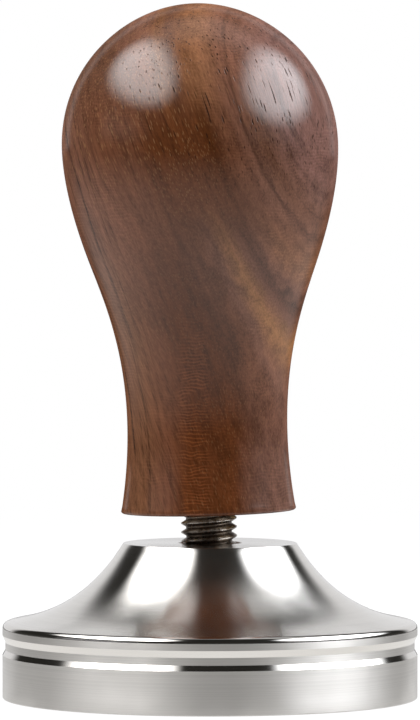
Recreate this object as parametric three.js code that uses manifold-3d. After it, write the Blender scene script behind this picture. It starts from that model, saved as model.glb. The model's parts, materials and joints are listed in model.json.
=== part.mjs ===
// Espresso tamper: a turned steel base, an M8 stud, and a turned wooden handle that screws
// onto the stud through a glued-in brass insert. Millimetres, +Z up, origin at the centre of
// the flat tamping face. The handle is partly unscrewed, and the loose stud lets it lean.
import * as THREE from "three";
import { mergeVertices } from "three/addons/utils/BufferGeometryUtils.js";
import Module from "manifold-3d";

const wasm = await Module();
wasm.setup();

// Steel base, fits a 58 mm filter basket
const baseRadius = 29;
const bottomEdgeBreak = 0.25;
const grooveDepth = 0.4;
const grooveBottomZ = 6.1;
const grooveFloorLowZ = 6.85;
const grooveFloorHighZ = 7.9;
const grooveTopZ = 8.86;
const rimFilletRadius = 0.86;
const rimFilletZ = 9.8;
const flareFootSlope = THREE.MathUtils.degToRad(14.9); // below the horizontal, where it meets the rim
const flareFootPull = 2.44;
const flareHeadSlope = THREE.MathUtils.degToRad(31.4); // from the vertical, under the flat top
const flareHeadPull = 11.6;
const baseTopRadius = 12.15;
const baseTopZ = 21.65;
const topEdgeBreak = 0.1;

// Tapped hole in the base
const tapDepth = 10.4;
const drillRadius = 3.5;
const drillDepth = 12.6;
const drillTipLength = 2;
const baseSinkRadius = 4.5;
const baseSinkDepth = 0.35;

// M8 x 1.25 thread, right-handed
const pitch = 1.25;
const crestRadius = 3.9;
const rootRadius = 3.2;
const crestWidth = 0.18;
const flankHalfAngle = THREE.MathUtils.degToRad(30);
const baseThreadClearance = 0.4; // room for the stud to rock
const insertThreadClearance = 0.2;

// Stud: a fully threaded set screw with a hexagon socket in its upper end
const studLength = 25;
const studDepthInBase = 9;
const studEndRadius = 2.95;
const studEndChamfer = 1.25;
const socketAcrossFlats = 4;
const socketDepth = 4;

// Handle, heights measured from its own lower face
const handleGap = 4.42; // between the base's flat top and the handle's lower face
const handleFootRadius = 12.22;
const handleEdgeBreak = 0.35;
const handleFootTaper = 0.15; // radius lost per millimetre of height just above the edge break
const neckPull = new THREE.Vector2(9.39, 16.45);
const shoulderPull = new THREE.Vector2(12.98, 26.69);
const shoulder = new THREE.Vector2(15.05, 32.53);
const bellyPull = new THREE.Vector2(15.85, 34.8);
const headRadius = 19.27;
const headZ = 50.98;
const headLowPull = 7.62;
const crownSidePull = 11.64;
const crownTopPull = 9.67;
const handleHeight = 70.89;

// Bore of the handle, and what is glued into it
const boreRadius = 6.4;
const boreDepth = 15.2;
const reliefRadius = 4.6;
const reliefDepth = 18.6;
const reliefTipLength = 1.6;
const insertRadius = 6;
const insertStart = 0.6;
const insertLength = 14;
const insertSinkRadius = 4.5;
const insertSinkDepth = 1;
const keyGrooveDepth = 0.35;
const keyGrooveWidth = 0.9;
const keyGrooveCount = 2;
const sleeveInnerRadius = 6.08;
const sleeveOuterRadius = 6.32;
const sleeveEndInset = 0.3;
const keyClearance = 0.08;

// The stud rocks about a point inside the tapped hole; it rests leaning towards -X
const rockPivotZ = 18.1;
const restLean = THREE.MathUtils.degToRad(1.42);

// Facets round each kind of surface, and along the curved outlines
const baseFacets = 80;
const handleFacets = 64;
const boreFacets = 36;
const threadFacets = 20;
const flareSteps = 10;
const filletSteps = 5;
const neckSteps = 9;
const bellySteps = 7;
const crownSteps = 12;

// Cutting tools reach this far past what they cut, and threads are wound this much too long
const cutMargin = 1;
const spareTurns = 2;
const mergeDistance = 1e-4;

const point = (radius, height) => new THREE.Vector2(radius, height);

// A closed geometry as a manifold-3d solid.
function solidOf(geometry) {
  const bare = geometry.clone();
  bare.deleteAttribute("normal");
  bare.deleteAttribute("uv");
  const merged = mergeVertices(bare, mergeDistance);
  const mesh = new wasm.Mesh({
    numProp: 3,
    vertProperties: merged.attributes.position.array,
    triVerts: new Uint32Array(merged.index.array),
  });
  return new wasm.Manifold(mesh);
}

// A manifold-3d solid as a geometry.
function geometryOf(solid) {
  const { vertProperties, triVerts, numProp } = solid.getMesh();
  const geometry = new THREE.BufferGeometry();
  geometry.setAttribute("position", new THREE.BufferAttribute(vertProperties, numProp));
  geometry.setIndex(new THREE.BufferAttribute(triVerts, 1));
  geometry.computeVertexNormals();
  return geometry;
}

// A solid of revolution about Z; the outline runs upwards on its outside.
function revolve(outline, facets) {
  const lathe = new THREE.LatheGeometry(outline, facets);
  lathe.rotateX(Math.PI / 2);
  return solidOf(lathe);
}

// Corners of one pitch of the thread, going up: radius and height above the pitch's start.
function threadSection(clearance) {
  const root = rootRadius + clearance;
  const crest = crestRadius + clearance;
  const flankHeight = (crest - root) * Math.tan(flankHalfAngle);
  const rootWidth = pitch - crestWidth - 2 * flankHeight;
  return [
    point(root, 0),
    point(root, rootWidth),
    point(crest, rootWidth + flankHeight),
    point(crest, rootWidth + flankHeight + crestWidth),
  ];
}

// A threaded rod that covers the given heights, swollen by a clearance when it is used as a
// tap. Its section winds up one long helix whose turns share their edges, and a fan of
// triangles closes each ragged end. Every rod's pitch starts on the +X side at a whole number
// of pitches from the local origin, so rods and taps made in one frame are in mesh.
function threadedRod(lowZ, highZ, clearance) {
  const section = threadSection(clearance);
  const corners = section.length;
  const firstTurn = Math.floor(lowZ / pitch) - spareTurns;
  const lastStep = (Math.ceil(highZ / pitch) + spareTurns - firstTurn) * threadFacets;
  const points = [];
  for (let step = 0; step <= lastStep; step++) {
    const angle = (step / threadFacets) * 2 * Math.PI;
    const rise = (firstTurn + step / threadFacets) * pitch;
    for (const corner of section) {
      const x = corner.x * Math.cos(angle);
      const y = corner.x * Math.sin(angle);
      points.push(new THREE.Vector3(x, y, corner.y + rise));
    }
  }
  const index = (step, corner) =>
    corner < corners ? step * corners + corner : (step + threadFacets) * corners;

  const faces = [];
  for (let step = 0; step < lastStep; step++) {
    const cornerEnd = step + 1 + threadFacets <= lastStep ? corners : corners - 1;
    for (let corner = 0; corner < cornerEnd; corner++) {
      const near = [index(step, corner), index(step, corner + 1)];
      const far = [index(step + 1, corner), index(step + 1, corner + 1)];
      faces.push(near[0], far[0], far[1], near[0], far[1], near[1]);
    }
  }
  const lowEdge = [];
  const highEdge = [];
  for (let step = 0; step <= threadFacets; step++) {
    lowEdge.push(index(step, 0));
    highEdge.push(index(lastStep - step, corners - 1));
  }
  for (let corner = 1; corner < corners; corner++) {
    lowEdge.push(index(0, corners - corner));
    highEdge.push(index(lastStep, corner - 1));
  }
  const closeWithFan = (edge, apexZ) => {
    const apex = points.push(new THREE.Vector3(0, 0, apexZ)) - 1;
    edge.forEach((corner, i) => faces.push(edge[(i + 1) % edge.length], corner, apex));
  };
  closeWithFan(lowEdge, firstTurn * pitch);
  closeWithFan(highEdge, points[index(lastStep, corners - 1)].z);

  const geometry = new THREE.BufferGeometry().setFromPoints(points);
  geometry.setIndex(faces);
  return solidOf(geometry);
}

// Cuts a rod to length with a 45-degree chamfer at both ends.
function trimRod(rod, lowZ, highZ) {
  const wide = studEndRadius + studEndChamfer;
  const blank = [
    point(0, lowZ),
    point(studEndRadius, lowZ),
    point(wide, lowZ + studEndChamfer),
    point(wide, highZ - studEndChamfer),
    point(studEndRadius, highZ),
    point(0, highZ),
  ];
  return rod.intersect(revolve(blank, threadFacets));
}

// Cuts a tap to length, square at both ends.
function trimTap(tap, lowZ, highZ) {
  const wide = crestRadius + cutMargin;
  const blank = [point(0, lowZ), point(wide, lowZ), point(wide, highZ), point(0, highZ)];
  return tap.intersect(revolve(blank, threadFacets));
}

// Outside of the base from the tamping face up to the flat top.
function baseOutline() {
  const filletCentre = point(baseRadius - rimFilletRadius, rimFilletZ);
  const filletEnd = point(
    filletCentre.x + rimFilletRadius * Math.sin(flareFootSlope),
    filletCentre.y + rimFilletRadius * Math.cos(flareFootSlope),
  );
  const fillet = new THREE.EllipseCurve(
    filletCentre.x,
    filletCentre.y,
    rimFilletRadius,
    rimFilletRadius,
    0,
    Math.PI / 2 - flareFootSlope,
  );
  const flareTop = point(baseTopRadius, baseTopZ - topEdgeBreak);
  const flare = new THREE.CubicBezierCurve(
    filletEnd,
    point(
      filletEnd.x - flareFootPull * Math.cos(flareFootSlope),
      filletEnd.y + flareFootPull * Math.sin(flareFootSlope),
    ),
    point(
      flareTop.x + flareHeadPull * Math.sin(flareHeadSlope),
      flareTop.y - flareHeadPull * Math.cos(flareHeadSlope),
    ),
    flareTop,
  );
  const grooveRadius = baseRadius - grooveDepth;
  return [
    point(0, 0),
    point(baseRadius - bottomEdgeBreak, 0),
    point(baseRadius, bottomEdgeBreak),
    point(baseRadius, grooveBottomZ),
    point(grooveRadius, grooveFloorLowZ),
    point(grooveRadius, grooveFloorHighZ),
    point(baseRadius, grooveTopZ),
    ...fillet.getPoints(filletSteps),
    ...flare.getPoints(flareSteps).slice(1),
    point(baseTopRadius - topEdgeBreak, baseTopZ),
    point(0, baseTopZ),
  ];
}

// Everything the drill, countersink and tap take out of the base.
function baseHole() {
  const above = baseTopZ + cutMargin;
  const drill = revolve(
    [
      point(0, baseTopZ - drillDepth - drillTipLength),
      point(drillRadius, baseTopZ - drillDepth),
      point(drillRadius, above),
      point(0, above),
    ],
    threadFacets,
  );
  const sinkFloor = baseTopZ - baseSinkDepth;
  const sink = revolve(
    [
      point(0, sinkFloor),
      point(baseSinkRadius - baseSinkDepth, sinkFloor),
      point(baseSinkRadius, baseTopZ),
      point(baseSinkRadius + cutMargin, above),
      point(0, above),
    ],
    threadFacets,
  );
  const lowZ = baseTopZ - tapDepth - rockPivotZ;
  const highZ = above - rockPivotZ;
  const tap = trimTap(threadedRod(lowZ, highZ, baseThreadClearance), lowZ, highZ);
  return tap.translate(0, 0, rockPivotZ).add(drill).add(sink);
}

function makeBase() {
  return revolve(baseOutline(), baseFacets).subtract(baseHole());
}

// Hexagonal recess that opens upwards at the given height.
function hexSocket(topZ) {
  const cornerRadius = socketAcrossFlats / Math.sqrt(3);
  const length = socketDepth + cutMargin;
  const prism = new THREE.CylinderGeometry(cornerRadius, cornerRadius, length, 6);
  prism.rotateX(Math.PI / 2);
  prism.translate(0, 0, topZ + (cutMargin - socketDepth) / 2);
  return solidOf(prism);
}

// The stud in the rocking frame, whose origin is the rock pivot.
function makeStud() {
  const lowZ = baseTopZ - studDepthInBase - rockPivotZ;
  const highZ = lowZ + studLength;
  const rod = trimRod(threadedRod(lowZ, highZ, 0), lowZ, highZ);
  return rod.subtract(hexSocket(highZ));
}

// Heights of the ring-shaped keying grooves' centres, from the insert's lower end.
function keyGrooveHeights() {
  const spacing = insertLength / (keyGrooveCount + 1);
  return Array.from({ length: keyGrooveCount }, (_, i) => spacing * (i + 1));
}

// Wall outline with one ring-shaped step at each keying groove, from low to high.
function keyedWall(plainRadius, stepRadius, stepWidth, offsetZ) {
  return keyGrooveHeights().flatMap((height) => {
    const low = offsetZ + height - stepWidth / 2;
    const high = offsetZ + height + stepWidth / 2;
    return [
      point(plainRadius, low),
      point(stepRadius, low),
      point(stepRadius, high),
      point(plainRadius, high),
    ];
  });
}

// The insert, in the handle's frame, before it is tapped.
function insertBlank() {
  const top = insertStart + insertLength;
  const outline = [
    point(0, insertStart),
    point(insertRadius, insertStart),
    ...keyedWall(insertRadius, insertRadius - keyGrooveDepth, keyGrooveWidth, insertStart),
    point(insertRadius, top),
    point(0, top),
  ];
  return revolve(outline, boreFacets);
}

// Countersink that opens at the given height, downwards (-1) or upwards (+1).
function insertSink(mouthZ, direction) {
  const floorZ = mouthZ - direction * insertSinkDepth;
  const openZ = mouthZ + direction * cutMargin;
  const outline = [
    point(0, floorZ),
    point(insertSinkRadius - insertSinkDepth, floorZ),
    point(insertSinkRadius + cutMargin, openZ),
    point(0, openZ),
  ];
  return revolve(direction > 0 ? outline : outline.reverse(), threadFacets);
}

function makeInsert(handleBottomZ) {
  const top = insertStart + insertLength;
  const lowZ = handleBottomZ + insertStart - cutMargin;
  const highZ = handleBottomZ + top + cutMargin;
  const tap = trimTap(threadedRod(lowZ, highZ, insertThreadClearance), lowZ, highZ);
  return insertBlank()
    .subtract(tap.translate(0, 0, -handleBottomZ))
    .subtract(insertSink(insertStart, -1))
    .subtract(insertSink(top, 1));
}

// Cured adhesive between the insert and the bore, with rings that fill the keying grooves.
function makeSleeve() {
  const low = insertStart + sleeveEndInset;
  const high = insertStart + insertLength - sleeveEndInset;
  const ringRadius = insertRadius - keyGrooveDepth + keyClearance;
  const ringWidth = keyGrooveWidth - 2 * keyClearance;
  const innerWall = keyedWall(sleeveInnerRadius, ringRadius, ringWidth, insertStart).reverse();
  const outline = [
    point(sleeveInnerRadius, low),
    point(sleeveOuterRadius, low),
    point(sleeveOuterRadius, high),
    point(sleeveInnerRadius, high),
    ...innerWall,
    point(sleeveInnerRadius, low),
  ];
  return revolve(outline, boreFacets);
}

// Outside of the handle: neck, shoulder and rounded head, from three joined curves.
function handleOutline() {
  const foot = point(handleFootRadius, 0);
  const widest = point(headRadius, headZ);
  const crown = point(0, handleHeight);
  const neck = new THREE.CubicBezierCurve(foot, neckPull, shoulderPull, shoulder);
  const belly = new THREE.CubicBezierCurve(
    shoulder,
    bellyPull,
    point(headRadius, headZ - headLowPull),
    widest,
  );
  const head = new THREE.CubicBezierCurve(
    widest,
    point(headRadius, headZ + crownSidePull),
    point(crownTopPull, handleHeight),
    crown,
  );
  return [
    point(0, 0),
    point(handleFootRadius - handleEdgeBreak, 0),
    point(handleFootRadius - handleEdgeBreak * handleFootTaper, handleEdgeBreak),
    ...neck.getPoints(neckSteps).slice(1),
    ...belly.getPoints(bellySteps).slice(1),
    ...head.getPoints(crownSteps).slice(1),
  ];
}

// Blind bore: wide for the insert, then a narrower relief for the stud's end.
function handleBore() {
  const outline = [
    point(0, -cutMargin),
    point(boreRadius, -cutMargin),
    point(boreRadius, boreDepth),
    point(reliefRadius, boreDepth),
    point(reliefRadius, reliefDepth),
    point(0, reliefDepth + reliefTipLength),
  ];
  return revolve(outline, boreFacets);
}

function makeHandle() {
  return revolve(handleOutline(), handleFacets).subtract(handleBore());
}

const steel = () =>
  new THREE.MeshStandardMaterial({ color: 0xb4afa8, roughness: 0.25, metalness: 1 });
const darkSteel = () =>
  new THREE.MeshStandardMaterial({ color: 0x6f665c, roughness: 0.4, metalness: 1 });
const brass = () =>
  new THREE.MeshStandardMaterial({ color: 0xb08d4a, roughness: 0.35, metalness: 1 });
const adhesive = () =>
  new THREE.MeshStandardMaterial({ color: 0xc9bfa0, roughness: 0.6, metalness: 0 });
const walnut = () =>
  new THREE.MeshStandardMaterial({ color: 0x6b4431, roughness: 0.4, metalness: 0 });

function piece(name, solid, material) {
  const mesh = new THREE.Mesh(geometryOf(solid), material);
  mesh.name = name;
  return mesh;
}

function buildTamper() {
  const tamper = new THREE.Group();
  tamper.add(piece("base", makeBase(), steel()));

  const rocking = new THREE.Group();
  rocking.position.z = rockPivotZ;
  rocking.rotation.y = -restLean;
  tamper.add(rocking);
  rocking.add(piece("stud", makeStud(), darkSteel()));

  const handleBottomZ = baseTopZ + handleGap - rockPivotZ;
  const screwed = new THREE.Group();
  screwed.position.z = handleBottomZ;
  rocking.add(screwed);
  screwed.add(piece("threaded_insert", makeInsert(handleBottomZ), brass()));
  screwed.add(piece("adhesive_sleeve", makeSleeve(), adhesive()));
  screwed.add(piece("handle", makeHandle(), walnut()));
  return tamper;
}

export default buildTamper();
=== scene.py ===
import json
import math

import bpy
import numpy as np
from mathutils import Matrix, Vector


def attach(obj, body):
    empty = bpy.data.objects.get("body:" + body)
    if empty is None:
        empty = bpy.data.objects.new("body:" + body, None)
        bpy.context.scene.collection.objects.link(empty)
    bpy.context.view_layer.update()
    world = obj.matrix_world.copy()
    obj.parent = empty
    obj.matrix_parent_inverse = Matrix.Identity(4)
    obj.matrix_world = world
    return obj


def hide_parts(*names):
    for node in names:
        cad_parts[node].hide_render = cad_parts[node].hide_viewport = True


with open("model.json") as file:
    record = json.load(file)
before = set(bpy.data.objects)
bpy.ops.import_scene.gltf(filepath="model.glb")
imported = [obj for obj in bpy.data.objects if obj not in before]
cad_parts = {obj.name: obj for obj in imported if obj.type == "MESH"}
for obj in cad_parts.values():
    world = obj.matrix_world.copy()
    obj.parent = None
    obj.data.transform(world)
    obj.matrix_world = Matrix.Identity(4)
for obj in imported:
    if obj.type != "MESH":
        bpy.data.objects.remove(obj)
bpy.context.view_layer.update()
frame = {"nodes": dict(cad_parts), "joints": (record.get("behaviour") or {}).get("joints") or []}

# Espresso tamper in metres. Outlines are written in millimetres and scaled once, in make_piece().
MM = 0.001

# ---------------------------------------------------------------- places, from the frame

joints = {joint["name"]: joint for joint in frame["joints"]}
screw = joints["handle_turn"]
screw_axis = Vector(screw["axis"]).normalized()
pivot = Vector(screw["pos_m"])
# The leaning frame of the stud and handle: origin at the rock pivot, Z along the screw axis.
LEAN = Matrix.Translation(pivot) @ Vector((0, 0, 1)).rotation_difference(screw_axis).to_matrix().to_4x4()
UPRIGHT = Matrix.Identity(4)


def span(node, place):
    """A node's lowest and highest point along a frame's Z and its largest radius, in mm."""
    inverse = place.inverted()
    corners = np.array([inverse @ v.co for v in frame["nodes"][node].data.vertices]) / MM
    radius = float(np.hypot(corners[:, 0], corners[:, 1]).max())
    return float(corners[:, 2].min()), float(corners[:, 2].max()), radius


_, BASE_TOP, BASE_RADIUS = span("base", UPRIGHT)
STUD_LOW, STUD_HIGH, _ = span("stud", LEAN)
INSERT_LOW, INSERT_HIGH, INSERT_RADIUS = span("threaded_insert", LEAN)
SLEEVE_LOW, SLEEVE_HIGH, SLEEVE_RADIUS = span("adhesive_sleeve", LEAN)
HANDLE_LOW, HANDLE_HIGH, HANDLE_RADIUS = span("handle", LEAN)
HANDLE_HEIGHT = HANDLE_HIGH - HANDLE_LOW
PIVOT_HEIGHT = pivot.z / MM

# ---------------------------------------------------------------- driving dimensions, mm

EDGE_BREAK = 0.22
GROOVE_DEPTH = 0.4
GROOVE_LOW, GROOVE_FLOOR_LOW, GROOVE_FLOOR_HIGH, GROOVE_HIGH = 6.1, 6.85, 7.9, 8.86
RIM_FILLET = 0.86
RIM_FILLET_Z = 9.8
FLARE_FOOT_SLOPE = math.radians(14.9)
FLARE_FOOT_PULL = 2.44
FLARE_HEAD_SLOPE = math.radians(31.4)
FLARE_HEAD_PULL = 11.6
NECK_RADIUS, NECK_EDGE_BREAK = 12.15, 0.08
SINK_RADIUS, SINK_DEPTH = 4.5, 0.35
DRILL_RADIUS, DRILL_DEPTH, DRILL_TIP = 3.5, 12.6, 2.0
TAP_DEPTH = 10.4
# How far the cutting tools stand past the faces they cut
OVERCUT, DRILL_OVERCUT, TAP_OVERCUT = 1.0, 1.5, 1.2

PITCH = 1.25
THREAD_ROOT, THREAD_CREST = 3.2, 3.9
CREST_WIDTH = 0.18
FLANK = math.tan(math.radians(30))
BASE_CLEARANCE, INSERT_CLEARANCE = 0.4, 0.2
STUD_END_RADIUS, STUD_CHAMFER = 2.95, 1.25
SOCKET_FLATS, SOCKET_DEPTH, SOCKET_TIP = 4.0, 4.0, 1.0

FOOT_RADIUS = 12.22
FOOT_ROUNDING, FOOT_SLOPE = 0.35, math.radians(9)
# The handle's curves as radius and height, drawn for a handle DRAWN_HEIGHT tall and stretched to the
# handle's height in handle_outline()
DRAWN_HEIGHT, WIDEST_HEIGHT = 70.89, 50.98
NECK_PULL, SHOULDER_PULL_LOW = (9.39, 16.45), (12.98, 26.69)
SHOULDER, SHOULDER_PULL_HIGH = (15.05, 32.53), (15.85, 34.8)
WIDEST_PULL_LOW, WIDEST_PULL_HIGH, CROWN_PULL = 43.36, 62.62, 9.67
BOW, BOW_LENGTH = 0.2, 57.0
BORE_RADIUS, BORE_DEPTH, BORE_EDGE_BREAK = 6.4, 15.2, 0.25
RELIEF_RADIUS, RELIEF_DEPTH, RELIEF_TIP = 4.6, 18.6, 1.6
SLEEVE_INNER = 6.08
KEY_COUNT, KEY_DEPTH, KEY_WIDTH, KEY_GAP = 2, 0.35, 0.9, 0.08
INSERT_EDGE_BREAK = 0.15
INSERT_SINK_MARGIN, INSERT_SINK_DEPTH = 0.35, 0.6

# Facets round a full turn
BASE_SEGMENTS, HANDLE_SEGMENTS, SMALL_SEGMENTS = 256, 192, 96
THREAD_SEGMENTS, TAP_SEGMENTS = 64, 48

# ---------------------------------------------------------------- outlines


def bezier(a, b, c, d, steps):
    """Points on a cubic curve, both ends included."""
    t = np.linspace(0, 1, steps + 1)[:, None]
    a, b, c, d = (np.array(p, float) for p in (a, b, c, d))
    return (1 - t) ** 3 * a + 3 * (1 - t) ** 2 * t * b + 3 * (1 - t) * t * t * c + t**3 * d


def arc(centre, radius, start, end, steps):
    """Points on an arc from one angle to another, both ends included."""
    angles = np.linspace(start, end, steps + 1)
    return np.stack([centre[0] + radius * np.cos(angles), centre[1] + radius * np.sin(angles)], 1)


def soften(outline, corners, size, steps=4):
    """Rounds an outline's corners with the given numbers. Each becomes a short curve that ends size
    away from the corner, or at 0.45 of the way to the next point where that is nearer."""
    points = [np.array(p, float) for p in outline]
    result = []
    for i, p in enumerate(points):
        if i not in corners:
            result.append(p)
            continue
        before, after = points[i - 1] - p, points[(i + 1) % len(points)] - p
        start = p + before * min(size / np.linalg.norm(before), 0.45)
        end = p + after * min(size / np.linalg.norm(after), 0.45)
        t = np.linspace(0, 1, steps + 1)[:, None]
        result.extend((1 - t) ** 2 * start + 2 * t * (1 - t) * p + t * t * end)
    return result


# ---------------------------------------------------------------- meshes


def lathe(outline, segments, finishes=None, closed=False):
    """Vertices, faces and a finish number per face, for an outline turned about Z.
    The outline runs upwards on its outside. finishes holds one number per outline step."""
    vertices, rings = [], []
    angles = np.arange(segments) * 2 * math.pi / segments
    for radius, z in outline:
        first = len(vertices)
        if radius < 1e-6:
            vertices.append((0.0, 0.0, z))
            rings.append([first] * segments)
        else:
            vertices.extend((radius * math.cos(a), radius * math.sin(a), z) for a in angles)
            rings.append(list(range(first, first + segments)))
    faces, numbers = [], []
    steps = len(outline) if closed else len(outline) - 1
    for k in range(steps):
        low, high = rings[k], rings[(k + 1) % len(rings)]
        for i in range(segments):
            j = (i + 1) % segments
            loop = dict.fromkeys((low[i], low[j], high[j], high[i]))
            faces.append(tuple(loop))
            numbers.append(finishes[k] if finishes else 0)
    return vertices, faces, numbers


def thread_section(clearance, rounding):
    """One pitch of the thread, going up: radius and height above the pitch's start."""
    root, crest = THREAD_ROOT + clearance, THREAD_CREST + clearance
    rise = (crest - root) * FLANK
    root_width = PITCH - CREST_WIDTH - 2 * rise
    corners = [(root, 0), (root, root_width), (crest, root_width + rise),
               (crest, root_width + rise + CREST_WIDTH)]
    wrapped = [(r, z - PITCH) for r, z in corners[-1:]] + corners + [(corners[0][0], PITCH)]
    rounded = soften(wrapped, (1, 2, 3, 4), rounding, steps=2)
    return rounded[1:-1]


def threaded_rod(low, high, clearance, segments, rounding=0.07):
    """A long screw whose section winds up a helix, with a fan of triangles at each ragged end."""
    section = thread_section(clearance, rounding)
    corners = len(section)
    first = math.floor(low / PITCH) - 2
    last = (math.ceil(high / PITCH) + 1 - first) * segments
    vertices = []
    for step in range(last + 1):
        turn = 2 * math.pi * step / segments
        rise = (first + step / segments) * PITCH
        vertices.extend((r * math.cos(turn), r * math.sin(turn), z + rise) for r, z in section)

    def index(step, corner):
        return step * corners + corner if corner < corners else (step + segments) * corners

    faces = []
    for step in range(last):
        for corner in range(corners if step + 1 + segments <= last else corners - 1):
            faces.append((index(step, corner), index(step + 1, corner),
                          index(step + 1, corner + 1), index(step, corner + 1)))
    low_edge = [index(step, 0) for step in range(segments + 1)]
    low_edge += [index(0, corners - c) for c in range(1, corners)]
    high_edge = [index(last - step, corners - 1) for step in range(segments + 1)]
    high_edge += [index(last, c - 1) for c in range(1, corners)]
    for edge, z in ((low_edge, first * PITCH), (high_edge, vertices[index(last, corners - 1)][2])):
        apex = len(vertices)
        vertices.append((0.0, 0.0, z))
        faces.extend((edge[(i + 1) % len(edge)], corner, apex) for i, corner in enumerate(edge))
    return vertices, faces, [0] * len(faces)


def make_piece(name, shape, materials, place):
    """A Blender object from vertices and faces in mm, in the given frame."""
    vertices, faces, numbers = shape
    mesh = bpy.data.meshes.new(name)
    mesh.from_pydata([(x * MM, y * MM, z * MM) for x, y, z in vertices], [], faces)
    for surface in materials:
        mesh.materials.append(surface)
    mesh.polygons.foreach_set("material_index", numbers)
    mesh.update()
    piece = bpy.data.objects.new(name, mesh)
    bpy.context.scene.collection.objects.link(piece)
    piece.matrix_world = place
    return piece


def cut(piece, tool, operation="DIFFERENCE"):
    """Joins or cuts a piece with a tool, which is then removed."""
    modifier = piece.modifiers.new("cut", "BOOLEAN")
    modifier.solver = "EXACT"
    modifier.operation = operation
    modifier.object = tool
    bpy.context.view_layer.update()
    evaluated = piece.evaluated_get(bpy.context.evaluated_depsgraph_get())
    mesh = bpy.data.meshes.new_from_object(evaluated)
    piece.modifiers.clear()
    piece.data = mesh
    bpy.data.objects.remove(tool)


def smooth(piece, sharp_above):
    """Smooth shading that stays sharp where two faces meet at more than an angle, in degrees."""
    mesh = piece.data
    mesh.polygons.foreach_set("use_smooth", [True] * len(mesh.polygons))
    mesh.set_sharp_from_angle(angle=math.radians(sharp_above))
    mesh.name = piece.name


def install(piece, node, body, sharp_above=30):
    """The piece stands for a CAD node and moves with its body."""
    smooth(piece, sharp_above)
    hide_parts(node)
    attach(piece, body)


# ---------------------------------------------------------------- node helpers


class Shader:
    """A short way to write a node tree: each method adds nodes and returns what comes out of them."""

    def __init__(self, owner):
        owner.use_nodes = True
        self.tree = owner.node_tree
        self.tree.nodes.clear()

    def add(self, kind, inputs=(), output=0, **settings):
        made = self.tree.nodes.new("ShaderNode" + kind)
        for key, value in settings.items():
            setattr(made, key, value)
        for key, value in dict(inputs).items():
            if isinstance(value, bpy.types.NodeSocket):
                self.tree.links.new(value, made.inputs[key])
            else:
                made.inputs[key].default_value = value
        return made.outputs[output]

    def math(self, operation, a, b=0.0, c=0.0):
        return self.add("Math", {0: a, 1: b, 2: c}, operation=operation)

    def times(self, *factors):
        """The product of all the factors."""
        product = factors[0]
        for factor in factors[1:]:
            product = self.math("MULTIPLY", product, factor)
        return product

    def scale(self, vector, factor):
        return self.add("VectorMath", {0: vector, "Scale": factor}, operation="SCALE")

    def shift(self, vector, offset):
        return self.add("VectorMath", {0: vector, 1: offset}, operation="ADD")

    def dot(self, vector, direction):
        return self.add("VectorMath", {0: vector, 1: direction}, output="Value", operation="DOT_PRODUCT")

    def combine(self, x, y, z):
        return self.add("CombineXYZ", {0: x, 1: y, 2: z})

    def split(self, vector):
        """The X, Y and Z of a vector."""
        return tuple(self.add("SeparateXYZ", {0: vector}).node.outputs)

    def noise(self, vector, scale, detail=2.0, roughness=0.5, output="Fac"):
        inputs = {"Vector": vector, "Scale": scale, "Detail": detail, "Roughness": roughness}
        return self.add("TexNoise", inputs, output=output)

    def smoothstep(self, value, low, high, to_low=0.0, to_high=1.0):
        """Eases from to_low at low to to_high at high, which may be the lower of the two."""
        inputs = {"Value": value, "From Min": low, "From Max": high, "To Min": to_low, "To Max": to_high}
        return self.add("MapRange", inputs, interpolation_type="SMOOTHSTEP")

    def mix(self, factor, a, b):
        """Colour a where the factor is 0 and colour b where it is 1."""
        return self.add("Mix", {0: factor, 6: a, 7: b}, output=2, data_type="RGBA")

    def ramp(self, factor, stops):
        """A colour for each position; positions run from 0 to 1."""
        colour = self.add("ValToRGB", {0: factor})
        band = colour.node.color_ramp
        while len(band.elements) < len(stops):
            band.elements.new(1.0)
        for element, (position, rgb) in zip(band.elements, stops):
            element.position = position
            element.color = (*rgb, 1.0)
        return colour

    def bump(self, height, distance, strength=1.0):
        return self.add("Bump", {"Height": height, "Distance": distance, "Strength": strength})

    def finish(self, surface, kind="OutputMaterial"):
        """Ends the tree: the surface goes to its output node."""
        made = self.tree.nodes.new("ShaderNode" + kind)
        self.tree.links.new(surface, made.inputs["Surface"])


def material(name):
    """A new material and the shader that writes its nodes."""
    made = bpy.data.materials.new(name)
    return made, Shader(made)


def millimetres(s):
    """The shaded point in the piece's own frame, in mm."""
    return s.scale(s.add("TexCoord", output="Object"), 1 / MM)


def axis_distance(s, x, y):
    """How far the shaded point is from the piece's own Z axis."""
    return s.math("SQRT", s.math("ADD", s.times(x, x), s.times(y, y)))


# ---------------------------------------------------------------- metals


def turned_steel(name, colour, roughness, line_height, line_pitch, anisotropy, shade):
    """Steel cut on a lathe: fine rings of bump and tint round the axis, and a stretched shine."""
    made, s = material(name)
    p = millimetres(s)
    x, y, z = s.split(p)
    radius = axis_distance(s, x, y)
    rings = s.combine(radius, 0.0, z)
    fine = s.noise(rings, 1 / line_pitch, detail=3, roughness=0.6)
    broad = s.noise(rings, 0.25 / line_pitch, detail=2)
    # Faint scratches that follow the rings for part of a turn
    stretched = s.combine(s.times(radius, 3.0), s.times(s.math("ARCTAN2", y, x), 2.0), s.times(z, 3.0))
    scratch = s.noise(stretched, 0.66 / line_pitch, detail=3)
    lines = s.math("ADD", s.times(fine, 0.6), s.times(broad, 0.25))
    lines = s.math("ADD", lines, s.times(scratch, 0.15))
    tint = s.smoothstep(lines, 0.3, 0.7, 1 - shade, 1 + shade * 0.4)
    smear = s.noise(p, 0.12, detail=3)
    rough = s.smoothstep(smear, 0.3, 0.75, roughness * 0.85, roughness * 1.2)
    tangent = s.add("Tangent", direction_type="RADIAL", axis="Z")
    s.finish(s.add("BsdfPrincipled", {
        "Base Color": s.scale(colour, tint), "Metallic": 1.0, "Roughness": rough,
        "Normal": s.bump(lines, line_height * MM),
        "Anisotropic": anisotropy, "Anisotropic Rotation": 0.25, "Tangent": tangent}))
    return made


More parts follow.
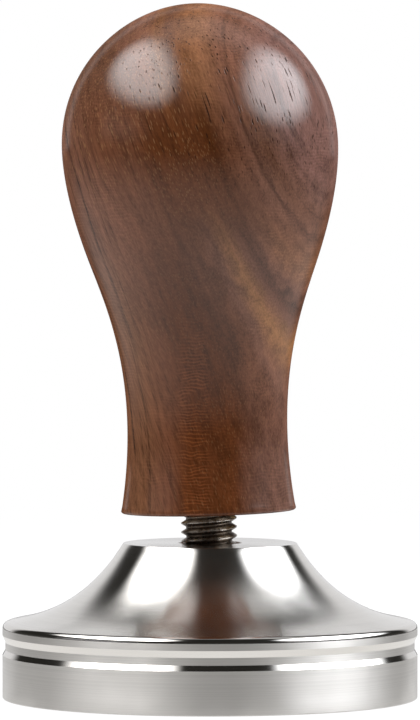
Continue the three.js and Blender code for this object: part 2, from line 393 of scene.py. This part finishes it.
def thread_steel():
    """Rolled steel thread: brownish, with a painted highlight on its crests and painted shade in its roots.
    """
    made, s = material("stud_steel")
    p = millimetres(s)
    x, y, _ = s.split(p)
    # Painted shade in the thread's roots, lightening to a painted highlight on its crests
    painted_crest_light = s.smoothstep(axis_distance(s, x, y), THREAD_ROOT + 0.1, THREAD_CREST - 0.05)
    mottle = s.noise(p, 1.6, detail=4)
    colour = s.mix(painted_crest_light, (0.16, 0.13, 0.105, 1), (0.62, 0.58, 0.53, 1))
    colour = s.mix(s.smoothstep(mottle, 0.35, 0.7), colour, (0.2, 0.155, 0.115, 1))
    rough = s.smoothstep(mottle, 0.3, 0.7, 0.24, 0.42)
    s.finish(s.add("BsdfPrincipled", {
        "Base Color": colour, "Metallic": 1.0, "Roughness": rough,
        "Normal": s.bump(s.noise(p, 9.0, detail=3), 0.01 * MM)}))
    return made


def brass():
    """Turned brass: fine level lines, and cloudy brown tarnish that dulls the shine."""
    made, s = material("brass")
    p = millimetres(s)
    _, _, z = s.split(p)
    lines = s.noise(s.combine(0.0, 0.0, z), 9.0, detail=3)
    tarnish = s.noise(p, 0.9, detail=4)
    colour = s.mix(s.smoothstep(tarnish, 0.35, 0.75), (0.72, 0.52, 0.24, 1), (0.45, 0.30, 0.13, 1))
    s.finish(s.add("BsdfPrincipled", {
        "Base Color": colour, "Metallic": 1.0, "Roughness": s.smoothstep(tarnish, 0.3, 0.7, 0.2, 0.38),
        "Normal": s.bump(lines, 0.02 * MM)}))
    return made


def adhesive():
    """Cured epoxy: cloudy amber that lets a little light in."""
    made, s = material("adhesive")
    p = millimetres(s)
    cloud = s.noise(p, 1.2, detail=4)
    colour = s.mix(cloud, (0.50, 0.42, 0.27, 1), (0.66, 0.60, 0.45, 1))
    s.finish(s.add("BsdfPrincipled", {
        "Base Color": colour, "Roughness": 0.35, "Subsurface Weight": 0.15,
        "Subsurface Scale": 0.4 * MM, "Normal": s.bump(s.noise(p, 4.0, detail=3), 0.05 * MM)}))
    return made


# ---------------------------------------------------------------- walnut

# The growth rings are nearly flat layers, counted from left to right and a little towards the
# viewer. They stand upright at the foot and lean to the left above it. The grain runs up through
# the handle, leaning left and backwards.
RING_Y, RING_Z, RING_BEND = -0.35, 0.45, 37.5
RING_RANGE = 56.0
# How far the rings wander from their even layers, and over what length
RING_DRIFT, DRIFT_LENGTH = 1.2, 20.0
GRAIN = Vector((-0.32, 0.28, 1.0)).normalized()
ORANGE_BROWN = (0.200, 0.084, 0.041)
RED_BROWN = (0.176, 0.066, 0.033)
DARK_BROWN = (0.122, 0.036, 0.011)
BRONZE = (0.148, 0.063, 0.036)
OLIVE_BROWN = (0.120, 0.041, 0.018)
PURPLE_BROWN = (0.185, 0.080, 0.050)
MAUVE_BROWN = (0.205, 0.089, 0.055)
LILAC_BROWN = (0.205, 0.104, 0.084)
UMBER = (0.142, 0.044, 0.014)
DEEP_BROWN = (0.088, 0.025, 0.006)
GOLDEN_BROWN = (0.205, 0.085, 0.039)
DARK_VEIN = (0.096, 0.043, 0.028)
GOLD = (0.325, 0.148, 0.062)
PALE_GOLD = (0.262, 0.114, 0.055)
# How deep each colour of wood lies through the rings: in the neck, the head and the crown
NECK_RINGS = [
    (2, RED_BROWN), (13, ORANGE_BROWN), (17.5, RED_BROWN), (21, DARK_BROWN), (25, DARK_BROWN),
    (27.2, OLIVE_BROWN), (29.5, RED_BROWN), (31.0, MAUVE_BROWN), (33.1, GOLD), (34.6, PURPLE_BROWN),
    (35.7, DARK_VEIN), (37.0, PURPLE_BROWN), (38.8, PALE_GOLD), (40.5, ORANGE_BROWN),
    (43.5, PURPLE_BROWN), (48, RED_BROWN),
]
HEAD_RINGS = [
    (14, MAUVE_BROWN), (20, RED_BROWN), (24.5, RED_BROWN), (28.5, UMBER), (35.3, UMBER), (37, DEEP_BROWN),
    (39, RED_BROWN), (41.5, PURPLE_BROWN), (43.5, BRONZE), (46.5, LILAC_BROWN),
]
CROWN_RINGS = [
    (19, BRONZE), (24.5, BRONZE), (27, PURPLE_BROWN), (30.8, MAUVE_BROWN), (32.6, GOLDEN_BROWN),
    (34.4, BRONZE), (36.4, GOLDEN_BROWN), (38.4, PALE_GOLD), (41.5, MAUVE_BROWN), (43, PURPLE_BROWN),
    (47, LILAC_BROWN),
]
# One thin dark line of late wood
LATE_WOOD_RING, LATE_WOOD_WIDTH = 42.0, 0.5
# The level ray bars, the wood's figure with a painted sheen: their spacing, how far they bend, how bright
# the painted sheen makes them and where they are dense
RAY_SPACING, RAY_BEND, RAY_SHEEN = 0.46, 22.0, 0.65
RAY_COLUMN, RAY_COLUMN_INSIDE, RAY_COLUMN_OUTSIDE = -1.7, 1.0, 2.9
# The painted sheen over the belly and the foot, partly the wood's own tone, and the colours of deep pores
# and of the painted glints in shallow pores
PALE_SHEEN = (0.250, 0.110, 0.069, 1)
MAUVE_SHEEN = (0.165, 0.108, 0.098, 1)
PORE = (0.028, 0.012, 0.007, 1)
PORE_GLINT = (0.40, 0.205, 0.09, 1)


def grain_axes():
    """Two directions across the grain: out through the rings, and along them."""
    across = Vector((1.0, RING_Y, RING_Z))
    across = (across - across.dot(GRAIN) * GRAIN).normalized()
    return across, GRAIN.cross(across).normalized()


def ring_depth(s, p):
    """How far out a point lies through the growth rings, in mm."""
    drift = s.noise(p, 1 / DRIFT_LENGTH, detail=2, output="Color")
    drift = s.scale(s.shift(drift, (-0.5, -0.5, -0.5)), RING_DRIFT)
    x, y, z = s.split(s.shift(p, drift))
    height = s.math("SQRT", s.math("MULTIPLY_ADD", z, z, RING_BEND**2))
    return s.math("ADD", x, s.math("MULTIPLY_ADD", y, RING_Y, s.times(height, RING_Z)))


def ring_colour(s, z, depth, streaks):
    """The wood's colour by its depth through the rings, which changes up the handle, with a painted sheen
    over the belly and the neck.
    """
    position = s.math("DIVIDE", depth, RING_RANGE)
    neck, head, crown = (s.ramp(position, [(ring / RING_RANGE, rgb) for ring, rgb in stops])
                         for stops in (NECK_RINGS, HEAD_RINGS, CROWN_RINGS))
    colour = s.mix(s.smoothstep(z, 52.0, 62.0), head, crown)
    colour = s.mix(s.smoothstep(z, 44.0, 34.0), colour, neck)
    # Painted sheen: a pale greyish veil over the belly, strongest on its left, partly the wood's own tone
    belly = s.times(s.smoothstep(z, 25.0, 38.0), s.smoothstep(z, 52.0, 44.0),
                    s.smoothstep(depth, 27.0, 17.0, 0.20, 0.58))
    colour = s.mix(belly, colour, PALE_SHEEN)
    # Painted sheen: a mauve veil on the right of the neck and foot, partly the wood's own tone
    foot = s.times(s.smoothstep(z, 24.0, 4.0), s.smoothstep(depth, 25.0, 30.0, 0.0, 0.45))
    colour = s.mix(foot, colour, MAUVE_SHEEN)
    from_late_wood = s.math("ABSOLUTE", s.math("SUBTRACT", depth, LATE_WOOD_RING))
    late_wood = s.times(s.smoothstep(from_late_wood, LATE_WOOD_WIDTH, 0.0),
                        s.smoothstep(streaks, 0.35, 0.6, 0.1, 0.5))
    return s.mix(late_wood, colour, PORE)


def rays(s, p):
    """Short level bars, which are rays seen end on and brightened as a painted sheen: dense up the middle of
    the neck, faint elsewhere.
    """
    x, _, z = s.split(p)
    bend = s.noise(s.combine(s.times(x, 0.35), 0.0, s.times(z, 0.22)), 1.0)
    turn = s.math("MULTIPLY_ADD", z, 2 * math.pi / RAY_SPACING, s.times(bend, RAY_BEND))
    bars = s.smoothstep(s.math("SINE", turn), -0.1, 0.9)
    broken = s.noise(s.combine(s.times(x, 0.35), 7.0, s.times(z, 0.9)), 1.0)
    bars = s.times(bars, s.smoothstep(broken, 0.36, 0.54))
    aside = s.math("ABSOLUTE", s.math("SUBTRACT", x, RAY_COLUMN))
    column = s.times(s.smoothstep(aside, RAY_COLUMN_OUTSIDE, RAY_COLUMN_INSIDE),
                     s.smoothstep(z, 32.0, 18.0))
    spread = s.smoothstep(s.noise(p, 0.13, detail=2), 0.42, 0.62, 0.03, 0.25)
    return s.times(bars, s.math("MAXIMUM", column, spread))


def vessels(s, grain, size, length, radius, share, offset):
    """Thin tubes up the grain, cut open by the surface: 1 inside a tube, 0 in the wood."""
    a, b, g = grain
    cell = s.combine(s.math("MULTIPLY_ADD", a, 1 / size, offset), s.math("DIVIDE", b, size),
                     s.math("DIVIDE", g, length))
    found = s.add("TexVoronoi", {"Vector": cell, "Scale": 1.0, "Randomness": 1.0},
                  output="Distance", feature="F1")
    pick = s.add("SeparateColor", {0: found.node.outputs["Color"]})
    inside = s.smoothstep(found, radius, radius * 0.5)
    return s.times(inside, s.math("LESS_THAN", pick, share))


def pores(s, p, z, depth, grain):
    """Open pores as two strengths: deep ones, which are dark, and shallow ones, painted golden as a glint of
    light in their lacquer.
    """
    long = vessels(s, grain, size=0.50, length=14.0, radius=0.23, share=0.8, offset=0.0)
    short = vessels(s, grain, size=0.38, length=4.0, radius=0.25, share=0.7, offset=31.7)
    deep = s.math("MAXIMUM", long, s.times(short, 0.5))
    deep = s.times(deep, s.smoothstep(z, 42.0, 54.0, 0.22, 1.0), s.smoothstep(depth, 24.0, 36.0, 0.45, 1.0))
    coarse = vessels(s, grain, size=0.36, length=2.6, radius=0.27, share=0.85, offset=87.1)
    fine = vessels(s, grain, size=0.29, length=1.8, radius=0.30, share=0.8, offset=55.3)
    glinting_pores = s.times(s.math("MAXIMUM", coarse, fine), s.smoothstep(z, 38.0, 52.0, 0.15, 0.45),
                      s.smoothstep(s.noise(p, 0.07, detail=1), 0.28, 0.52, 0.35, 1.0),
                      s.smoothstep(depth, 40.0, 31.0, 0.3, 1.0))
    return deep, glinting_pores


def walnut():
    """Lacquered walnut, whose rings, streaks, rays and pores run through the whole handle."""
    made, s = material("walnut")
    p = s.shift(millimetres(s), (0, 0, -HANDLE_LOW))
    _, _, z = s.split(p)
    a, b, g = grain = [s.dot(p, axis) for axis in (*grain_axes(), GRAIN)]
    rings = ring_depth(s, p)

    streaks = s.noise(s.combine(a, s.times(b, 0.55), s.times(g, 0.05)), 0.8, detail=5, roughness=0.62)
    fibres = s.noise(s.combine(a, b, s.times(g, 0.08)), 4.5, detail=3, roughness=0.7)
    lines = s.noise(s.combine(s.math("ADD", rings, 40.0), 0.0, s.times(g, 0.02)), 1.3,
                    detail=3, roughness=0.6)

    # Streaks make the rings wavy, and at the foot those on the left lie further left
    crowded = s.times(s.smoothstep(z, 24.0, 2.0, 0.0, 2.8), s.smoothstep(rings, 27.0, 18.0))
    wavy = s.math("MULTIPLY_ADD", s.math("SUBTRACT", streaks, 0.5), 2.2, s.math("ADD", rings, crowded))
    colour = ring_colour(s, z, wavy, streaks)

    shade = s.math("ADD", s.smoothstep(streaks, 0.3, 0.7, 0.70, 1.05),
                   s.smoothstep(lines, 0.3, 0.7, -0.09, 0.09))
    shade = s.math("ADD", shade, s.smoothstep(fibres, 0.3, 0.7, -0.20, 0.20))
    # Darker lines along the rings at the left and right
    veined = s.math("MAXIMUM", s.smoothstep(wavy, 19.0, 13.0), s.smoothstep(wavy, 38.0, 44.0, 0.0, 0.28))
    shade = s.math("SUBTRACT", shade, s.times(veined, s.smoothstep(lines, 0.50, 0.36, 0.0, 0.38)))
    # Painted sheen: the ray bars brighten the wood
    shade = s.math("MULTIPLY_ADD", rays(s, p), RAY_SHEEN, shade)
    colour = s.scale(colour, shade)

    deep, glinting_pores = pores(s, p, z, wavy, grain)
    # Painted glints: shallow pores painted golden as if the lacquer in them catches the light
    colour = s.mix(glinting_pores, colour, PORE_GLINT)
    colour = s.mix(deep, colour, PORE)

    relief = s.math("MULTIPLY_ADD", fibres, 0.3, s.times(deep, -1.0))
    cloud = s.noise(p, 0.2, detail=3)
    facing = s.add("LayerWeight", {"Blend": 0.5}, output="Facing")
    # The lacquer doesn't bridge the deep pores, and it hardly shows at the silhouette
    lacquer = s.times(s.smoothstep(facing, 0.56, 0.82, 1.0, 0.06), s.smoothstep(deep, 0.1, 0.7, 1.0, 0.15))
    s.finish(s.add("BsdfPrincipled", {
        "Base Color": colour, "Roughness": 0.6, "Specular IOR Level": 0.0,
        "Normal": s.bump(relief, 0.05 * MM, 0.7), "Coat Weight": lacquer,
        "Coat Roughness": s.smoothstep(cloud, 0.3, 0.7, 0.08, 0.13), "Coat IOR": 1.5,
        "Coat Normal": s.bump(relief, 0.04 * MM, 0.4)}))
    return made


# ---------------------------------------------------------------- pieces


TURNED, POLISHED, FACED, BRIGHT = range(4)


def base_outline():
    """Outside of the base from the tamping face to the flat top, with a finish for each step."""
    steps = []

    def run(points, finish):
        steps.extend((tuple(p), finish) for p in points)

    radius, floor_radius = BASE_RADIUS, BASE_RADIUS - GROOVE_DEPTH
    run([(r, 0.0) for r in np.linspace(0, radius - EDGE_BREAK, 6)], FACED)
    run(arc((radius - EDGE_BREAK, EDGE_BREAK), EDGE_BREAK, -math.pi / 2, 0, 4)[1:], TURNED)
    run([(radius, z) for z in np.linspace(EDGE_BREAK, GROOVE_LOW, 5)[1:]], TURNED)
    run([(floor_radius, GROOVE_FLOOR_LOW)], BRIGHT)
    run([(floor_radius, GROOVE_FLOOR_HIGH)], TURNED)
    run([(radius, GROOVE_HIGH)], BRIGHT)
    run([(radius, RIM_FILLET_Z)], TURNED)
    centre = (radius - RIM_FILLET, RIM_FILLET_Z)
    fillet = arc(centre, RIM_FILLET, 0, math.pi / 2 - FLARE_FOOT_SLOPE, 10)
    run(fillet[1:], BRIGHT)
    foot = fillet[-1]
    head = np.array((NECK_RADIUS, BASE_TOP - NECK_EDGE_BREAK))
    inwards = np.array((-math.cos(FLARE_FOOT_SLOPE), math.sin(FLARE_FOOT_SLOPE)))
    outwards = np.array((math.sin(FLARE_HEAD_SLOPE), -math.cos(FLARE_HEAD_SLOPE)))
    flare = bezier(foot, foot + FLARE_FOOT_PULL * inwards, head + FLARE_HEAD_PULL * outwards, head, 56)
    run(flare[1:], POLISHED)
    flat_radius = NECK_RADIUS - NECK_EDGE_BREAK
    run([(flat_radius, BASE_TOP)], BRIGHT)
    run([(r, BASE_TOP) for r in np.linspace(flat_radius, 0, 5)[1:]], FACED)
    outline = [point for point, _ in steps]
    return outline, [finish for _, finish in steps[1:]]


def tap_tool(low, high, clearance, materials, place):
    """A screw with flat ends, which leaves a thread with the given clearance."""
    tap = make_piece("tap", threaded_rod(low, high, clearance, TAP_SEGMENTS), materials, place)
    wide = THREAD_CREST + OVERCUT
    length = [(0, low), (wide, low), (wide, high), (0, high)]
    cut(tap, make_piece("length", lathe(length, TAP_SEGMENTS), materials, place), "INTERSECT")
    return tap


def base_hole(materials):
    """The drilled, countersunk and tapped hole, as one cutting tool."""
    above = BASE_TOP + DRILL_OVERCUT
    drill = [(0, BASE_TOP - DRILL_DEPTH - DRILL_TIP), (DRILL_RADIUS, BASE_TOP - DRILL_DEPTH),
             (DRILL_RADIUS, above), (0, above)]
    sink = [(0, BASE_TOP - SINK_DEPTH), (SINK_RADIUS - SINK_DEPTH, BASE_TOP - SINK_DEPTH),
            (SINK_RADIUS, BASE_TOP), (SINK_RADIUS + DRILL_OVERCUT, above), (0, above)]
    # The thread is made round the pivot, as the stud's is, so that the two keep step
    low, high = BASE_TOP - TAP_DEPTH - PIVOT_HEIGHT, BASE_TOP + TAP_OVERCUT - PIVOT_HEIGHT
    hole = tap_tool(low, high, BASE_CLEARANCE, materials, UPRIGHT)
    hole.matrix_world = Matrix.Translation((0, 0, pivot.z))
    cut(hole, make_piece("drill", lathe(drill, TAP_SEGMENTS), materials, UPRIGHT), "UNION")
    cut(hole, make_piece("sink", lathe(sink, SMALL_SEGMENTS), materials, UPRIGHT), "UNION")
    return hole


def build_base():
    """The base, turned and drilled from one piece of steel in four finishes."""
    steel = (0.80, 0.775, 0.74)
    materials = [
        turned_steel("turned_steel", (0.68, 0.66, 0.635), roughness=0.40, line_height=0.010,
                     line_pitch=0.14, anisotropy=0.88, shade=0.10),
        turned_steel("polished_steel", steel, roughness=0.20, line_height=0.0022,
                     line_pitch=0.35, anisotropy=0.93, shade=0.05),
        turned_steel("faced_steel", (0.78, 0.76, 0.735), roughness=0.17, line_height=0.003,
                     line_pitch=0.18, anisotropy=0.5, shade=0.04),
        turned_steel("bright_steel", steel, roughness=0.10, line_height=0.0005,
                     line_pitch=0.35, anisotropy=0.5, shade=0.02),
    ]
    outline, finishes = base_outline()
    base = make_piece("tamper_base", lathe(outline, BASE_SEGMENTS, finishes), materials, UPRIGHT)
    cut(base, base_hole(materials))
    install(base, "base", "base", sharp_above=15)


def build_stud():
    """The fully threaded set screw, with chamfered ends and a hexagon socket in the upper one."""
    steel = [thread_steel()]
    blank = [(0, STUD_LOW), (STUD_END_RADIUS, STUD_LOW),
             (STUD_END_RADIUS + STUD_CHAMFER, STUD_LOW + STUD_CHAMFER),
             (STUD_END_RADIUS + STUD_CHAMFER, STUD_HIGH - STUD_CHAMFER),
             (STUD_END_RADIUS, STUD_HIGH), (0, STUD_HIGH)]
    stud = make_piece("threaded_stud", threaded_rod(STUD_LOW, STUD_HIGH, 0, THREAD_SEGMENTS), steel, LEAN)
    cut(stud, make_piece("blank", lathe(blank, THREAD_SEGMENTS), steel, LEAN), "INTERSECT")
    corner = SOCKET_FLATS / math.sqrt(3)
    floor, above = STUD_HIGH - SOCKET_DEPTH, STUD_HIGH + OVERCUT
    socket = [(0, floor - SOCKET_TIP), (corner, floor), (corner, above), (0, above)]
    cut(stud, make_piece("socket", lathe(socket, 6), steel, LEAN))
    install(stud, "stud", "stud")


def key_heights():
    """Middle height of each keying groove of the insert, evenly spaced."""
    spacing = (INSERT_HIGH - INSERT_LOW) / (KEY_COUNT + 1)
    return [INSERT_LOW + spacing * (i + 1) for i in range(KEY_COUNT)]


def build_insert():
    """The brass bush: keying grooves outside, a thread right through, and a countersink at each end."""
    metal = [brass()]
    edge, groove_radius = INSERT_RADIUS - INSERT_EDGE_BREAK, INSERT_RADIUS - KEY_DEPTH
    outline = [(0, INSERT_LOW), (edge, INSERT_LOW), (INSERT_RADIUS, INSERT_LOW + INSERT_EDGE_BREAK)]
    for z in key_heights():
        low, high = z - KEY_WIDTH / 2, z + KEY_WIDTH / 2
        outline += [(INSERT_RADIUS, low), (groove_radius, low), (groove_radius, high), (INSERT_RADIUS, high)]
    outline += [(INSERT_RADIUS, INSERT_HIGH - INSERT_EDGE_BREAK), (edge, INSERT_HIGH), (0, INSERT_HIGH)]
    insert = make_piece("threaded_insert_brass", lathe(outline, SMALL_SEGMENTS), metal, LEAN)
    cut(insert, tap_tool(INSERT_LOW - OVERCUT, INSERT_HIGH + OVERCUT, INSERT_CLEARANCE, metal, LEAN))
    mouth = THREAD_CREST + INSERT_CLEARANCE + INSERT_SINK_MARGIN
    wide, narrow = mouth + OVERCUT, mouth - INSERT_SINK_DEPTH
    below, low_floor = INSERT_LOW - OVERCUT, INSERT_LOW + INSERT_SINK_DEPTH
    above, high_floor = INSERT_HIGH + OVERCUT, INSERT_HIGH - INSERT_SINK_DEPTH
    low_sink = [(0, below), (wide, below), (narrow, low_floor), (0, low_floor)]
    high_sink = [(0, high_floor), (narrow, high_floor), (wide, above), (0, above)]
    for sink in (low_sink, high_sink):
        cut(insert, make_piece("sink", lathe(sink, SMALL_SEGMENTS), metal, LEAN))
    install(insert, "threaded_insert", "handle")


def build_sleeve():
    """The tube of cured adhesive, with a ring in each keying groove and a meniscus at each end."""
    middle = (SLEEVE_INNER + SLEEVE_RADIUS) / 2
    half = (SLEEVE_RADIUS - SLEEVE_INNER) / 2
    outline = list(arc((middle, SLEEVE_LOW + half), half, math.pi, 2 * math.pi, 8))
    outline += list(arc((middle, SLEEVE_HIGH - half), half, 0, math.pi, 8))
    ring, width = INSERT_RADIUS - KEY_DEPTH + KEY_GAP, KEY_WIDTH - 2 * KEY_GAP
    for z in reversed(key_heights()):
        low, high = z - width / 2, z + width / 2
        outline += [(SLEEVE_INNER, high), (ring, high), (ring, low), (SLEEVE_INNER, low)]
    sleeve = make_piece("adhesive_tube", lathe(outline, SMALL_SEGMENTS, closed=True), [adhesive()], LEAN)
    install(sleeve, "adhesive_sleeve", "handle_lift")


def handle_outline():
    """Outside of the handle from the bore's mouth up to the crown, in its leaning frame."""

    def at(radius, height):
        return radius, HANDLE_LOW + height * HANDLE_HEIGHT / DRAWN_HEIGHT

    foot, shoulder = at(FOOT_RADIUS, 0), at(*SHOULDER)
    widest, crown = at(HANDLE_RADIUS, WIDEST_HEIGHT), at(0, DRAWN_HEIGHT)
    neck = bezier(foot, at(*NECK_PULL), at(*SHOULDER_PULL_LOW), shoulder, 48)
    belly = bezier(shoulder, at(*SHOULDER_PULL_HIGH), at(HANDLE_RADIUS, WIDEST_PULL_LOW), widest, 32)
    head = bezier(widest, at(HANDLE_RADIUS, WIDEST_PULL_HIGH), at(CROWN_PULL, DRAWN_HEIGHT), crown, 64)
    rounding = arc((FOOT_RADIUS - FOOT_ROUNDING, HANDLE_LOW + FOOT_ROUNDING), FOOT_ROUNDING,
                   -math.pi / 2, -FOOT_SLOPE, 6)
    outside = [p for p in np.vstack([neck, belly[1:], head[1:]]) if p[1] > HANDLE_LOW + FOOT_ROUNDING]
    return list(rounding) + outside


def bow(z):
    """How far the outside of the wood has moved sideways as it dried, at a height."""
    return BOW * math.sin(math.pi * (z - HANDLE_LOW) / BOW_LENGTH)


def build_handle():
    """The walnut handle, with a stepped blind bore up its middle and a slightly bowed outside."""
    bore = [(0, HANDLE_LOW + RELIEF_DEPTH + RELIEF_TIP), (RELIEF_RADIUS, HANDLE_LOW + RELIEF_DEPTH),
            (RELIEF_RADIUS, HANDLE_LOW + BORE_DEPTH), (BORE_RADIUS, HANDLE_LOW + BORE_DEPTH),
            (BORE_RADIUS, HANDLE_LOW + BORE_EDGE_BREAK), (BORE_RADIUS + BORE_EDGE_BREAK, HANDLE_LOW)]
    vertices, faces, finishes = lathe(bore + handle_outline(), HANDLE_SEGMENTS)
    outside = 1 + (len(bore) - 1) * HANDLE_SEGMENTS
    vertices[outside:] = [(x + bow(z), y, z) for x, y, z in vertices[outside:]]
    handle = make_piece("walnut_handle", (vertices, faces, finishes), [walnut()], LEAN)
    install(handle, "handle", "handle")


# ---------------------------------------------------------------- studio

# In metres, apart from the focal length, which is in millimetres
FLOOR_GAP, FLOOR_SIZE = 0.00005, 4.0
# The table's glow at the tamper, and the distance over which it halves
TABLE_GLOW, TABLE_REACH = 0.92, 0.22
CAMERA_DISTANCE, CAMERA_HEIGHT, AIM_HEIGHT = 0.817, 0.074, 0.0472
FOCAL_LENGTH = 292.8
# The point that the lights face
MIDDLE = Vector((0, 0, 0.05))
WHITE = (1, 1, 1, 1)


def direction(azimuth, elevation):
    """Unit vector; azimuth 0 is towards the camera and 90 to its right, in degrees."""
    a, e = math.radians(azimuth), math.radians(elevation)
    return Vector((math.sin(a) * math.cos(e), -math.cos(a) * math.cos(e), math.sin(e)))


def softbox(name, azimuth, elevation, distance, width, height, radiance, roll=0.0, colour=(1, 1, 1)):
    """An oval light that faces the tamper and isn't seen by the camera itself."""
    light = bpy.data.lights.new(name, "AREA")
    light.shape = "ELLIPSE"
    light.size, light.size_y = width, height
    light.energy = radiance * math.pi * (math.pi / 4 * width * height)
    light.color = colour
    s = Shader(light)
    across = s.add("NewGeometry", output="Parametric")
    from_middle = s.add("VectorMath", {0: across, 1: (0.5, 0.5, 0)}, output="Value", operation="DISTANCE")
    soft_edge = s.smoothstep(from_middle, 0.5, 0.18)
    s.finish(s.add("Emission", {"Strength": soft_edge}), "OutputLight")
    lamp = bpy.data.objects.new(name, light)
    bpy.context.scene.collection.objects.link(lamp)
    facing = direction(azimuth, elevation)
    turn = facing.to_track_quat("Z", "Y").to_matrix().to_4x4()
    lamp.matrix_world = (Matrix.Translation(MIDDLE + facing * distance) @ turn
                         @ Matrix.Rotation(math.radians(roll), 4, "Z"))
    lamp.visible_camera = False


def build_world():
    """White to the camera; to the object, a dark room with a pale wall, ceiling and sides."""
    world = bpy.data.worlds.new("studio")
    bpy.context.scene.world = world
    s = Shader(world)
    way = s.add("TexCoord", output="Generated")
    x, y, z = s.split(way)
    room = s.mix(s.smoothstep(z, -0.1, 0.4), (0.05, 0.049, 0.045, 1), (0.02, 0.019, 0.017, 1))
    ceiling = s.times(s.smoothstep(z, 0.70, 0.95), s.smoothstep(y, -0.15, 0.25))
    room = s.mix(ceiling, room, (0.60, 0.60, 0.60, 1))
    sides = s.times(s.smoothstep(s.math("ABSOLUTE", x), 0.55, 0.85), s.smoothstep(y, 0.15, -0.10),
                    s.smoothstep(z, 0.45, 0.20), s.smoothstep(z, -0.02, 0.15))
    room = s.mix(sides, room, (0.30, 0.30, 0.31, 1))
    wall = s.times(s.smoothstep(y, 0.72, 0.86), s.smoothstep(z, 0.75, 0.45))
    seen = s.mix(wall, room, (0.78, 0.78, 0.79, 1))
    colour = s.mix(s.add("LightPath", output="Is Camera Ray"), seen, WHITE)
    s.finish(s.add("Background", {"Color": colour, "Strength": 1.0}), "OutputWorld")


def build_floor():
    """A table just under the tamper: white paper to the camera, a soft glow to the tamper."""
    mesh = bpy.data.meshes.new("floor")
    signs = ((-1, -1), (1, -1), (1, 1), (-1, 1))
    corners = [(x * FLOOR_SIZE, y * FLOOR_SIZE, -FLOOR_GAP) for x, y in signs]
    mesh.from_pydata(corners, [], [(0, 1, 2, 3)])
    made, s = material("pale_floor")
    where = s.add("TexCoord", output="Object")
    away = s.add("VectorMath", {0: where}, output="Value", operation="LENGTH")
    fade = s.smoothstep(away, 0.10, 0.45)
    # To the camera: white paper with a faint shadow close to the tamper
    paper = s.add("AddShader", {0: s.add("BsdfDiffuse", {"Color": (0.10, 0.10, 0.10, 1)}),
                                1: s.add("Emission", {"Color": WHITE, "Strength": 0.92})})
    white = s.add("Emission", {"Color": WHITE, "Strength": 1.0})
    shown = s.add("MixShader", {0: fade, 1: paper, 2: white})
    # To the tamper: a bright table that darkens with distance
    reach = s.math("DIVIDE", away, TABLE_REACH)
    glow = s.math("DIVIDE", TABLE_GLOW, s.math("MULTIPLY_ADD", reach, reach, 1.0))
    table = s.add("Emission", {"Color": (1, 0.995, 0.985, 1), "Strength": glow})
    camera_ray = s.add("LightPath", output="Is Camera Ray")
    s.finish(s.add("MixShader", {0: camera_ray, 1: table, 2: shown}))
    mesh.materials.append(made)
    floor = bpy.data.objects.new("floor", mesh)
    bpy.context.scene.collection.objects.link(floor)


def build_camera():
    """The photo's view: straight ahead, from a little above the handle's middle."""
    data = bpy.data.cameras.new("camera")
    data.lens = FOCAL_LENGTH
    data.clip_start = 0.01
    camera = bpy.data.objects.new("camera", data)
    bpy.context.scene.collection.objects.link(camera)
    camera.location = (0, -CAMERA_DISTANCE, CAMERA_HEIGHT)
    aim = Vector((0, 0, AIM_HEIGHT)) - camera.location
    camera.rotation_euler = aim.to_track_quat("-Z", "Y").to_euler()
    bpy.context.scene.camera = camera


def build_studio():
    """The room, the table, a light at each side and the camera."""
    build_world()
    build_floor()
    softbox("left_softbox", azimuth=-74, elevation=51.3, distance=1.0, width=1.75, height=0.97,
            radiance=6.3, roll=-10)
    softbox("right_softbox", azimuth=87, elevation=38, distance=1.0, width=1.75, height=1.05,
            radiance=6.9, roll=5, colour=(0.94, 0.965, 1.0))
    build_camera()
    bpy.context.scene.view_settings.view_transform = "Standard"


build_base()
build_stud()
build_insert()
build_sleeve()
build_handle()
build_studio()
